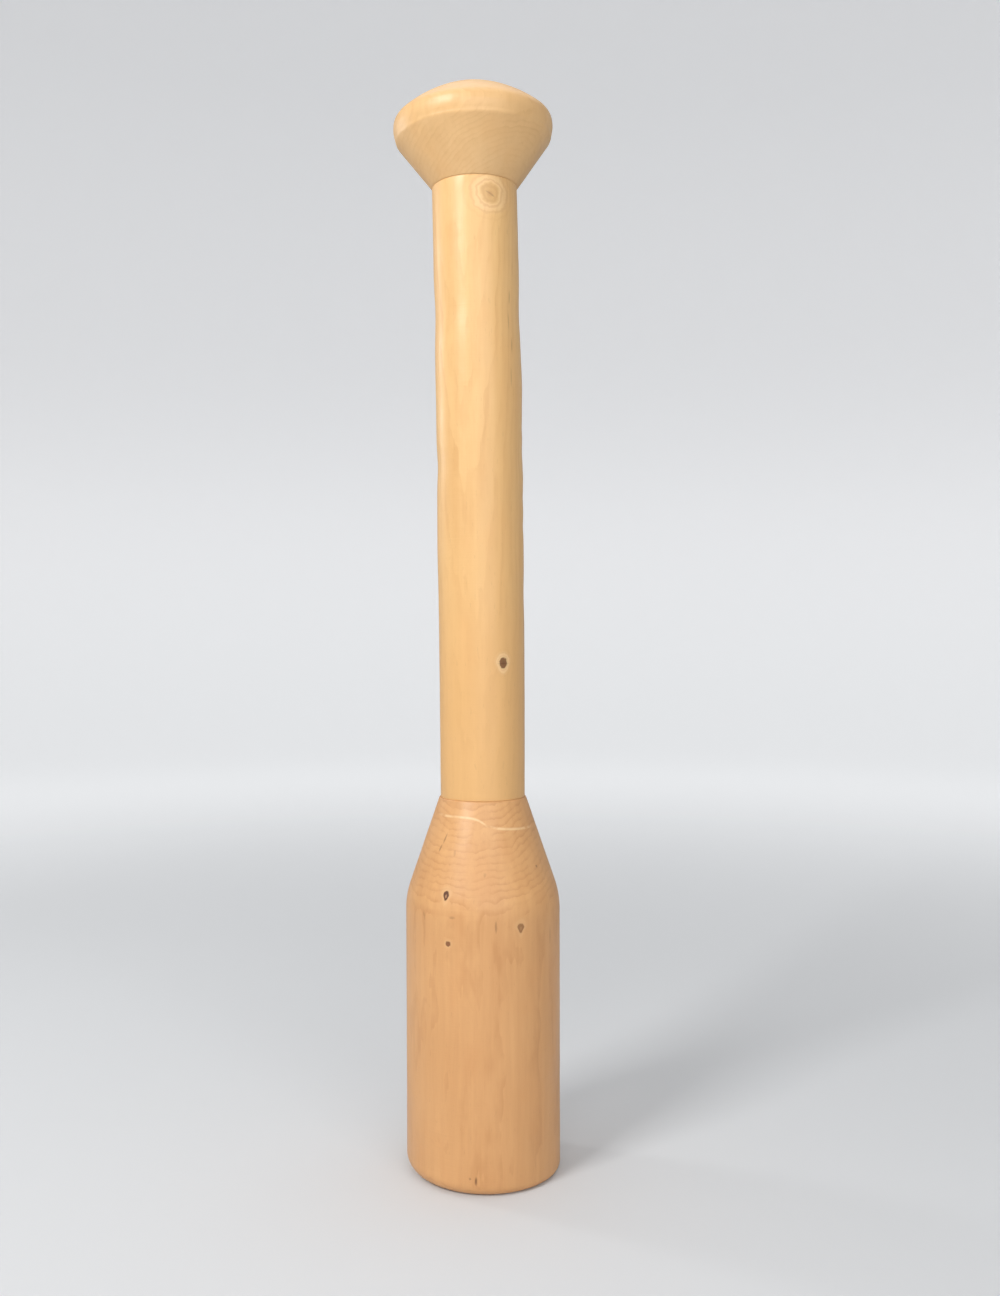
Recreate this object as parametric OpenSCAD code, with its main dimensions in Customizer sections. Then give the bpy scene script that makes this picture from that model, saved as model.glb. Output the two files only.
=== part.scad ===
// Wooden stomper for pressing cabbage into a crock: a heavy turned head,
// a long round handle and a knob for the palm, joined by two glued tenons.
// The head stands upright on its flat foot. The handle leans a little towards -X
// and the knob is canted a little further the same way, as on the old hand-made tool.
// Origin: centre of the flat foot. +Z up. All sizes in millimetres, all angles in degrees.

/* [Head] */
// Diameter of the head
head_d = 60; // [45:0.5:90]
// Height of the head's straight side, up to the line where its shoulder starts
head_side_h = 106.7; // [70:0.1:140]
// Height of the sloping shoulder between the straight side and the handle
shoulder_h = 38.3; // [25:0.1:60]
// Radius that eases the edge between the straight side and the shoulder
shoulder_round = 30; // [5:1:40]
// Radius of the worn edge round the flat foot
foot_round = 4.4; // [1:0.1:8]

/* [Handle] */
// Diameter of the handle
handle_d = 33; // [26:0.1:42]
// Length of the handle between the head and the knob
handle_l = 235.4; // [120:0.1:400]
// Angle by which the handle leans away from upright
handle_lean = 0.68; // [0:0.01:3]

/* [Knob] */
// Diameter of the knob at its rim
knob_d = 61.3; // [48:0.1:90]
// Height of the cone under the rim
knob_cone_h = 18.2; // [10:0.1:30]
// Height of the upright rim
rim_h = 7.1; // [5:0.1:16]
// Height of the rounded crown above the rim
crown_h = 13.9; // [6:0.1:22]
// Fullness of the crown, between 1 for a plain cone and 2 for a plain ball cap
crown_fullness = 1.5; // [1.1:0.05:1.8]
// Radius of the soft edge between the rim and the crown
rim_top_round = 3; // [0.5:0.1:4]
// Radius of the small edge between the cone and the rim
rim_bottom_round = 1; // [0.2:0.1:3]
// Angle by which the knob is canted on the handle
knob_cant = 1.4; // [0:0.05:3]

/* [Joints] */
// Diameter of the tenon in the head
head_tenon_d = 22; // [12:0.5:24]
// Length of the tenon in the head
head_tenon_l = 45; // [20:0.5:70]
// Diameter of the tenon in the knob
knob_tenon_d = 18; // [12:0.5:22]
// Length of the tenon in the knob
knob_tenon_l = 23; // [12:0.5:24]
// Chamfer on the end of each tenon
tenon_chamfer = 1.5; // [0.5:0.1:3]
// Room for glue round a tenon, on the radius
glue_gap = 0.1; // [0.05:0.01:0.3]
// Room for spare glue past the end of a tenon
glue_pocket = 1.5; // [0.5:0.1:3]

/* [Hidden] */
// Sides of the round shapes
$fn = 128;
// Wood that is left on a turned blank and faced away where it meets the handle
facing = 2;
head_r = head_d / 2;
neck_r = handle_d / 2;
rim_r = knob_d / 2;
// Height of the joint between the head and the handle
joint_z = head_side_h + shoulder_h;
// Radius that the shoulder and the knob's cone gain for each millimetre of height
shoulder_slope = (head_r - neck_r) / shoulder_h;
cone_slope = (rim_r - neck_r) / knob_cone_h;
// Height of the rim's upper edge in the knob's own frame, from the end of the handle
rim_top = knob_cone_h + rim_h;
// The crown is a cone with straight flanks whose point is rounded off to the crown's height
chord_angle = atan(crown_h / rim_r);
flank_angle = crown_fullness * chord_angle;
crown_round = norm([rim_r, crown_h]) * sin(flank_angle - chord_angle) / (1 - cos(flank_angle));
// Sideways shift that keeps the canted cone's end round the handle
knob_shift = neck_r * tan(knob_cant) * cone_slope;

head_wood = [0.82, 0.62, 0.41];
handle_wood = [0.91, 0.73, 0.49];
knob_wood = [0.93, 0.76, 0.52];

function unit(v) = v / norm(v);

// What a radius takes off an outline at corner, between its neighbours before and after
module corner_waste(before, corner, after, radius) {
    u = unit(before - corner);
    w = unit(after - corner);
    half_angle = acos(u * w) / 2;
    reach = radius / tan(half_angle);
    difference() {
        polygon([corner + reach * u, corner + reach * w, corner - reach * (u + w)]);
        translate(corner + unit(u + w) * radius / sin(half_angle))
            circle(r = radius);
    }
}

// Half outline of the head, up to a little above the joint
module head_outline() {
    foot = [head_r, 0];
    shoulder = [head_r, head_side_h];
    top = [neck_r - facing * shoulder_slope, joint_z + facing];
    difference() {
        polygon([[0, 0], foot, shoulder, top, [0, top.y]]);
        corner_waste([0, 0], foot, shoulder, foot_round);
        corner_waste(foot, shoulder, top, shoulder_round);
    }
}

// Half outline of the knob, from a little below the joint
module knob_outline() {
    start = [neck_r - facing * cone_slope, -facing];
    rim_low = [rim_r, knob_cone_h];
    rim_high = [rim_r, rim_top];
    point = [0, rim_top + rim_r * tan(flank_angle)];
    far_rim = [-rim_high.x, rim_high.y];
    difference() {
        polygon([[0, start.y], start, rim_low, rim_high, point]);
        corner_waste(start, rim_low, rim_high, rim_bottom_round);
        corner_waste(rim_low, rim_high, point, rim_top_round);
        corner_waste(rim_high, point, far_rim, crown_round);
    }
}

// Places its children on the joint with the head, with Z along the handle
module at_head_joint() {
    translate([0, 0, joint_z])
        rotate([0, -handle_lean, 0])
            children();
}

// Places its children on the joint with the knob, with Z along the handle
module at_knob_joint() {
    at_head_joint()
        translate([0, 0, handle_l])
            children();
}

// Round tenon with a chamfered end, standing on the joint
module tenon(diameter, length) {
    cylinder(d = diameter, h = length - tenon_chamfer);
    translate([0, 0, length - tenon_chamfer])
        cylinder(d1 = diameter, d2 = diameter - 2 * tenon_chamfer, h = tenon_chamfer);
}

// Blind hole for a tenon, from the joint inwards, open past the joint
module socket(diameter, length) {
    translate([0, 0, -facing])
        cylinder(d = diameter + 2 * glue_gap, h = facing + length + glue_pocket);
}

// Wood beyond the joint, which is faced off square to the handle
module joint_waste(width) {
    translate([-width / 2, -width / 2, 0])
        cube([width, width, 2 * facing]);
}

module stomping_head() {
    color(head_wood)
        difference() {
            rotate_extrude()
                head_outline();
            at_head_joint() {
                joint_waste(head_d);
                mirror([0, 0, 1])
                    socket(head_tenon_d, head_tenon_l);
            }
        }
}

module handle() {
    color(handle_wood)
        at_head_joint() {
            cylinder(d = handle_d, h = handle_l);
            mirror([0, 0, 1])
                tenon(head_tenon_d, head_tenon_l);
            translate([0, 0, handle_l])
                tenon(knob_tenon_d, knob_tenon_l);
        }
}

module knob() {
    color(knob_wood)
        at_knob_joint()
            difference() {
                translate([knob_shift, 0, 0])
                    rotate([0, -knob_cant, 0])
                        rotate_extrude()
                            knob_outline();
                mirror([0, 0, 1])
                    joint_waste(knob_d);
                socket(knob_tenon_d, knob_tenon_l);
            }
}

stomping_head();
handle();
knob();
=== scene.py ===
"""Looks of an old turned stomper for pressing cabbage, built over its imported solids.

Three turned pieces stand for the three solids: the stomping head, the handle and the palm knob.
One Geometry Nodes tree works as the lathe. It turns a half outline into a closed round mesh, wears
the foot unevenly and follows the handle's bow. Swells and dents of the hand-made handle are then
pressed into the mesh. The wood is procedural: growth rings, fibres, knots, small marks and polish
are node groups in millimetres, read from Object coordinates.

Sizes in the classes are millimetres and degrees, and the scene is in metres.
"""

import logging
import math
from abc import ABC, abstractmethod
from dataclasses import dataclass, field
from enum import Enum

import bpy
import numpy as np
from mathutils import Matrix, Vector


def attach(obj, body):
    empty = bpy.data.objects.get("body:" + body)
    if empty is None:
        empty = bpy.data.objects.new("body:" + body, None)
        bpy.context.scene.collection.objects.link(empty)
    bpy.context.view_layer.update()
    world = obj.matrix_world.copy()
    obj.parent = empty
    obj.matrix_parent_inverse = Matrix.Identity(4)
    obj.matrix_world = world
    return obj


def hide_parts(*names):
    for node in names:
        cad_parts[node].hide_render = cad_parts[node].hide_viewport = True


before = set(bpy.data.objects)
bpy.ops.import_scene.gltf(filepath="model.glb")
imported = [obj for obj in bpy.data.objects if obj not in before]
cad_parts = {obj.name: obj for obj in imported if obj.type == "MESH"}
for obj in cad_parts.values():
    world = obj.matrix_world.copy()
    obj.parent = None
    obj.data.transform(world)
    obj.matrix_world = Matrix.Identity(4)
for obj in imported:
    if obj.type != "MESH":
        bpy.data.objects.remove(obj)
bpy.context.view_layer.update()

MM = 0.001
BODY = "root"
# Stretches a noise that is centred on 0 to about its full reach
NOISE_GAIN = 4.0
SWEEP_SIDES = 96

Colour = tuple[float, float, float]
Point = tuple[float, float]
Triple = tuple[float, float, float]
Feed = bpy.types.NodeSocket | float | tuple[float, ...]

log = logging.getLogger("stomper")


class Surface(Enum):
    """Whether a stretch of an outline is touched by hand and tool, or sits inside a joint."""

    OUTSIDE = 1.0
    HIDDEN = 0.0


class Tone(Enum):
    """Colour family of a small mark in the wood."""

    DARK = "dark"
    PALE = "pale"
    RED = "red"


class Sketch:
    """Adds nodes to one tree and wires them, so that a formula reads from top to bottom."""

    def __init__(self, tree: bpy.types.NodeTree) -> None:
        """Keeps the tree that the nodes go into."""
        self.tree = tree

    def node(self, kind: str, **settings: object) -> bpy.types.Node:
        """Adds one node.

        Args:
            kind: Blender's type name of the node.
            **settings: Properties to set on it.

        Returns:
            The new node.
        """
        made = self.tree.nodes.new(kind)
        for key, value in settings.items():
            setattr(made, key, value)
        return made

    def feed(self, socket: bpy.types.NodeSocket, value: Feed) -> None:
        """Links a socket into an input, or sets the input to a plain value."""
        if isinstance(value, bpy.types.NodeSocket):
            self.tree.links.new(value, socket)
        else:
            socket.default_value = value

    def fill(self, node: bpy.types.Node, **values: Feed) -> bpy.types.Node:
        """Feeds a node's inputs by name.

        Args:
            node: The node to fill.
            **values: Input names in lower case with underscores, and what feeds them.

        Returns:
            The same node.
        """
        sockets = {s.name.lower().replace(" ", "_"): s for s in reversed(node.inputs)}
        for name, value in values.items():
            self.feed(sockets[name], value)
        return node

    def math(self, operation: str, *values: Feed, clamp: bool = False) -> bpy.types.NodeSocket:
        """Adds a Math node.

        Args:
            operation: Blender's name of the operation.
            *values: What feeds its inputs, in order.
            clamp: Keeps the result between 0 and 1.

        Returns:
            The node's value.
        """
        made = self.node("ShaderNodeMath", operation=operation, use_clamp=clamp)
        for socket, value in zip(made.inputs, values):
            self.feed(socket, value)
        return made.outputs[0]

    def vector(self, operation: str, *values: Feed) -> bpy.types.NodeSocket:
        """Adds a Vector Math node.

        Args:
            operation: Blender's name of the operation.
            *values: What feeds its inputs, in order. A scale goes last.

        Returns:
            The node's vector, or its value for a length.
        """
        made = self.node("ShaderNodeVectorMath", operation=operation)
        slots = [s for s in made.inputs if s.enabled]
        for socket, value in zip(slots, values):
            self.feed(socket, value)
        return made.outputs["Value"] if operation == "LENGTH" else made.outputs["Vector"]

    def combine(self, x: Feed, y: Feed, z: Feed) -> bpy.types.NodeSocket:
        """Makes a vector from three values."""
        return self.fill(self.node("ShaderNodeCombineXYZ"), x=x, y=y, z=z).outputs[0]

    def split(self, vector: Feed) -> list[bpy.types.NodeSocket]:
        """Splits a vector into its three values."""
        return list(self.fill(self.node("ShaderNodeSeparateXYZ"), vector=vector).outputs)

    def step(self, value: Feed, low: float, high: float) -> bpy.types.NodeSocket:
        """Eases a value from 0 at low to 1 at high, or the other way round where high is less.

        Args:
            value: The value to ease.
            low: Where the result is 0.
            high: Where the result is 1.

        Returns:
            The eased value.
        """
        made = self.node("ShaderNodeMapRange", interpolation_type="SMOOTHSTEP")
        start, stop = (low, high) if low < high else (high, low)
        span = (0.0, 1.0) if low < high else (1.0, 0.0)
        self.fill(made, value=value, from_min=start, from_max=stop, to_min=span[0], to_max=span[1])
        return made.outputs[0]

    def noise(
        self,
        vector: Feed,
        scale: Feed = 1.0,
        seed: Feed = 0.0,
        detail: float = 2.0,
        roughness: float = 0.5,
    ) -> bpy.types.NodeSocket:
        """Adds a seeded noise.

        Args:
            vector: Where the noise is read.
            scale: How many features fit in one unit.
            seed: A fixed value that picks the pattern.
            detail: How many finer layers are added.
            roughness: Strength of the finer layers.

        Returns:
            A value that mostly stays between 0.3 and 0.7.
        """
        made = self.node("ShaderNodeTexNoise", noise_dimensions="4D")
        self.fill(made, vector=vector, w=seed, scale=scale, detail=detail, roughness=roughness)
        return made.outputs[0]

    def sway(self, noise: Feed, reach: Feed) -> bpy.types.NodeSocket:
        """Centres a noise on 0 and scales it to a reach."""
        return self.math("MULTIPLY", self.math("SUBTRACT", noise, 0.5), reach)

    def blend(self, share: Feed, first: Feed, second: Feed, mode: str = "MIX") -> bpy.types.NodeSocket:
        """Mixes two colours.

        Args:
            share: Share of the second colour.
            first: The colour underneath.
            second: The colour laid over it.
            mode: Blender's name of the blend mode.

        Returns:
            The mixed colour.
        """
        made = self.node("ShaderNodeMix", data_type="RGBA", blend_type=mode)
        self.feed(made.inputs[0], share)
        self.feed(made.inputs[6], first if isinstance(first, bpy.types.NodeSocket) else (*first, 1.0))
        self.feed(made.inputs[7], second if isinstance(second, bpy.types.NodeSocket) else (*second, 1.0))
        return made.outputs[2]

    def use(self, group: bpy.types.NodeTree, **values: Feed) -> bpy.types.Node:
        """Places a shader node group.

        Args:
            group: The group to place.
            **values: Its inputs in lower case with underscores.

        Returns:
            The group's node.
        """
        return self.fill(self.node("ShaderNodeGroup", node_tree=group), **values)


class NodeGroup:
    """A shader node group that is built once, with its inputs and outputs declared by name."""

    def __init__(self, name: str, inputs: dict[str, Feed], outputs: tuple[str, ...]) -> None:
        """Args:
            name: The group's name.
            inputs: Input names with their usual values, a triple for a vector.
            outputs: Names of the values that it puts out.
        """
        self.tree = bpy.data.node_groups.new(name, "ShaderNodeTree")
        for key, value in inputs.items():
            kind = "NodeSocketVector" if isinstance(value, tuple) else "NodeSocketFloat"
            socket = self.tree.interface.new_socket(key, in_out="INPUT", socket_type=kind)
            socket.default_value = value
        for key in outputs:
            self.tree.interface.new_socket(key, in_out="OUTPUT", socket_type="NodeSocketFloat")
        self.sketch = Sketch(self.tree)
        self.given = self.sketch.node("NodeGroupInput").outputs
        self.result = self.sketch.node("NodeGroupOutput").inputs

    def put(self, name: str, value: Feed) -> None:
        """Sends a value to one of the group's outputs."""
        self.sketch.feed(self.result[name], value)


class Grain:
    """The node groups that draw wood, in millimetres along the piece's own Object coordinates."""

    def __init__(self) -> None:
        """Builds every group once."""
        self.rings = self._rings()
        self.fibres = self._fibres()
        self.mottle = self._mottle()
        self.knot = self._knot()
        self.mark = self._mark()
        self.turning = self._turning()
        self.polish = self._polish()

    @staticmethod
    def _rings() -> bpy.types.NodeTree:
        """Builds the growth rings: bent cylinders round a leaning pith.

        Returns:
            The group, with the dark line of each year, the year's tone and a slower tone.
        """
        group = NodeGroup(
            "Growth rings",
            {
                "Vector": (0.0, 0.0, 0.0),
                "Pith": (0.0, 0.0, 0.0),
                "Lean": (0.0, 0.0, 0.0),
                "Ring Width": 1.0,
                "Wander": 0.5,
                "Swirl": 0.0,
                "Seed": 0.0,
            },
            ("Line", "Year Tone", "Slow Tone"),
        )
        s, given = group.sketch, group.given
        place = s.vector("SUBTRACT", given["Vector"], given["Pith"])
        height = s.split(place)[2]
        place = s.vector("SUBTRACT", place, s.vector("SCALE", given["Lean"], height))
        distance = s.vector("LENGTH", s.vector("MULTIPLY", place, (1.0, 1.0, 0.0)))
        slow = s.noise(s.vector("MULTIPLY", place, (1.0, 1.0, 0.28)), 0.042, given["Seed"], 1.5)
        quick = s.noise(s.vector("MULTIPLY", place, (1.0, 1.0, 0.2)), 0.26, given["Seed"], 2.0)
        slow_shift = s.sway(slow, s.math("MULTIPLY", given["Wander"], NOISE_GAIN))
        quick_shift = s.sway(quick, s.math("MULTIPLY", given["Ring Width"], 1.5))
        shifted = s.math("ADD", distance, slow_shift)
        shifted = s.math("ADD", shifted, s.math("ADD", quick_shift, given["Swirl"]))
        count = s.math("DIVIDE", shifted, given["Ring Width"])
        year = s.math("FLOOR", count)
        within = s.math("FRACT", count)
        line = s.math("MULTIPLY", s.step(within, 0.45, 0.9), s.step(within, 1.0, 0.94))
        tone = s.node("ShaderNodeTexWhiteNoise", noise_dimensions="1D")
        s.feed(tone.inputs["W"], s.math("ADD", year, given["Seed"]))
        slowly = s.math("MULTIPLY_ADD", count, 0.31, given["Seed"])
        drift = s.noise((0.0, 0.0, 0.0), 1.0, slowly, 1.0)
        group.put("Line", line)
        group.put("Year Tone", tone.outputs["Value"])
        group.put("Slow Tone", drift)
        return group.tree

    @staticmethod
    def _fibres() -> bpy.types.NodeTree:
        """Builds the fibres: streaks drawn out along the piece's height.

        Returns:
            The group, with hair-fine fibres, broad streaks and short dark flecks.
        """
        group = NodeGroup(
            "Fibres",
            {"Vector": (0.0, 0.0, 0.0), "Width": 0.5, "Stretch": 18.0, "Seed": 0.0},
            ("Fine", "Streak", "Fleck"),
        )
        s, given = group.sketch, group.given
        x, y, z = s.split(given["Vector"])
        drawn = s.combine(x, y, s.math("DIVIDE", z, given["Stretch"]))
        scale = s.math("DIVIDE", 1.0, given["Width"])
        fine = s.noise(drawn, scale, given["Seed"], 2.0, 0.6)
        streak = s.noise(drawn, s.math("MULTIPLY", scale, 0.2), s.math("ADD", given["Seed"], 7.3), 2.0)
        short = s.combine(x, y, s.math("DIVIDE", z, s.math("MULTIPLY", given["Stretch"], 0.3)))
        fleck = s.noise(short, s.math("MULTIPLY", scale, 0.9), s.math("ADD", given["Seed"], 3.1), 1.0)
        group.put("Fine", fine)
        group.put("Streak", streak)
        group.put("Fleck", s.step(fleck, 0.66, 0.74))
        return group.tree

    @staticmethod
    def _mottle() -> bpy.types.NodeTree:
        """Builds the cloudy colour of old wood.

        Returns:
            The group, with a broad cloud, a smaller one and a warm one.
        """
        group = NodeGroup(
            "Mottle",
            {"Vector": (0.0, 0.0, 0.0), "Size": 20.0, "Seed": 0.0},
            ("Broad", "Small", "Warm"),
        )
        s, given = group.sketch, group.given
        place = s.vector("MULTIPLY", given["Vector"], (1.0, 1.0, 0.45))
        scale = s.math("DIVIDE", 1.0, given["Size"])
        group.put("Broad", s.noise(place, scale, given["Seed"], 1.0))
        small_scale = s.math("MULTIPLY", scale, 3.4)
        group.put("Small", s.noise(place, small_scale, s.math("ADD", given["Seed"], 2.7), 2.0))
        warm = s.noise(place, s.math("MULTIPLY", scale, 1.7), s.math("ADD", given["Seed"], 5.9), 2.0)
        group.put("Warm", s.step(warm, 0.5, 0.72))
        return group.tree

    @staticmethod
    def _knot() -> bpy.types.NodeTree:
        """Builds a branch knot in a space where the knot's edge is one unit from its middle.

        Returns:
            The group, with the core, its pale heart, the halo, rings round it and the swirl of the grain.
        """
        group = NodeGroup(
            "Branch knot",
            {"Vector": (0.0, 0.0, 0.0), "Taper": 0.0, "Seed": 0.0},
            ("Core", "Heart", "Halo", "Rings", "Swirl"),
        )
        s, given = group.sketch, group.given
        ragged = s.noise(given["Vector"], 1.6, given["Seed"], 2.0, 0.6)
        x, y, z = s.split(given["Vector"])
        tail = s.step(z, 0.4, -1.0)
        squeeze = s.math("ADD", 1.0, s.math("MULTIPLY", tail, given["Taper"]))
        bent = s.combine(s.math("MULTIPLY", x, squeeze), s.math("MULTIPLY", y, 0.5), z)
        reach = s.math("ADD", s.vector("LENGTH", bent), s.sway(ragged, 0.7))
        core = s.step(reach, 1.15, 0.8)
        halo = s.math("MULTIPLY", s.step(reach, 2.3, 1.3), s.math("SUBTRACT", 1.0, core))
        wave = s.math("SINE", s.math("MULTIPLY", reach, 11.0))
        fade = s.math("MULTIPLY", s.step(reach, 3.0, 1.2), s.step(wave, -0.2, 1.0))
        group.put("Core", core)
        group.put("Heart", s.step(reach, 0.5, 0.15))
        group.put("Halo", halo)
        group.put("Rings", fade)
        group.put("Swirl", s.math("EXPONENT", s.math("MULTIPLY", s.math("POWER", reach, 2.0), -0.16)))
        return group.tree

    @staticmethod
    def _mark() -> bpy.types.NodeTree:
        """Builds a small soft mark in a space where the mark's edge is one unit from its middle.

        Returns:
            The group, with the mark's mask.
        """
        group = NodeGroup("Small mark", {"Vector": (0.0, 0.0, 0.0), "Ragged": 0.5, "Seed": 0.0}, ("Mask",))
        s, given = group.sketch, group.given
        ragged = s.noise(given["Vector"], 1.3, given["Seed"], 2.0, 0.6)
        spread = s.sway(ragged, s.math("MULTIPLY", given["Ragged"], 2.0))
        group.put("Mask", s.step(s.math("ADD", s.vector("LENGTH", given["Vector"]), spread), 1.2, 0.35))
        return group.tree

    @staticmethod
    def _turning() -> bpy.types.NodeTree:
        """Builds the faint rings that the turning tool leaves.

        Returns:
            The group, with the height of the rings.
        """
        inputs = {"Vector": (0.0, 0.0, 0.0), "Pitch": 0.6, "Seed": 0.0}
        group = NodeGroup("Turning marks", inputs, ("Height",))
        s, given = group.sketch, group.given
        around = s.vector("MULTIPLY", given["Vector"], (0.03, 0.03, 1.0))
        scale = s.math("DIVIDE", 1.0, given["Pitch"])
        group.put("Height", s.noise(around, scale, given["Seed"], 2.0))
        return group.tree

    @staticmethod
    def _polish() -> bpy.types.NodeTree:
        """Builds the uneven polish that hands leave on bare wood.

        Returns:
            The group, with smudges, fine scuffs and soft dents.
        """
        inputs = {"Vector": (0.0, 0.0, 0.0), "Seed": 0.0}
        group = NodeGroup("Hand polish", inputs, ("Smudge", "Scuff", "Dent"))
        s, given = group.sketch, group.given
        smudge = s.noise(s.vector("MULTIPLY", given["Vector"], (1.0, 1.0, 0.6)), 0.07, given["Seed"], 3.0)
        scuff = s.noise(given["Vector"], 0.9, s.math("ADD", given["Seed"], 4.4), 3.0, 0.65)
        dent = s.noise(given["Vector"], 0.22, s.math("ADD", given["Seed"], 8.8), 1.0)
        group.put("Smudge", s.step(smudge, 0.35, 0.68))
        group.put("Scuff", scuff)
        group.put("Dent", dent)
        return group.tree


@dataclass(frozen=True)
class Knot:
    """A branch knot where it meets the surface.

    Attributes:
        height: Height of its middle.
        turn: Angle round the piece, from the front towards the right.
        half_width: Half its width round the piece.
        half_height: Half its height.
        colour: Colour of the core.
        heart: Colour of its middle.
        strength: How strongly the core covers the wood.
        heart_strength: How strongly the middle shows in the core.
        halo: How much paler the wood is round it.
        rings: How strongly rings show round it.
        swirl: How far the growth rings bend round it.
        taper: How much its lower end narrows.
        tilt: Angle of its long axis.
    """

    height: float
    turn: float
    half_width: float
    half_height: float
    colour: Colour
    heart: Colour
    strength: float = 0.9
    heart_strength: float = 0.0
    halo: float = 0.3
    rings: float = 0.2
    swirl: float = 0.8
    taper: float = 0.0
    tilt: float = 0.0


@dataclass(frozen=True)
class Mark:
    """A small fleck, check or stain on the surface.

    Attributes:
        height: Height of its middle.
        turn: Angle round the piece, from the front towards the right.
        half_width: Half its width.
        half_height: Half its height before it is tilted.
        strength: How strongly it covers the wood.
        tilt: Angle by which its upper end leans to the right.
        tone: Its colour family.
        ragged: How uneven its edge is.
    """

    height: float
    turn: float
    half_width: float
    half_height: float
    strength: float = 0.5
    tilt: float = 0.0
    tone: Tone = Tone.DARK
    ragged: float = 0.5


@dataclass(frozen=True)
class WavyLine:
    """A pale growth line that wanders round the piece.

    Attributes:
        turns: Angles of its points, rising.
        heights: Height at each of those angles.
        half_width: Half its thickness.
        strength: How strongly it shows.
    """

    turns: tuple[float, ...]
    heights: tuple[float, ...]
    half_width: float
    strength: float


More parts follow.
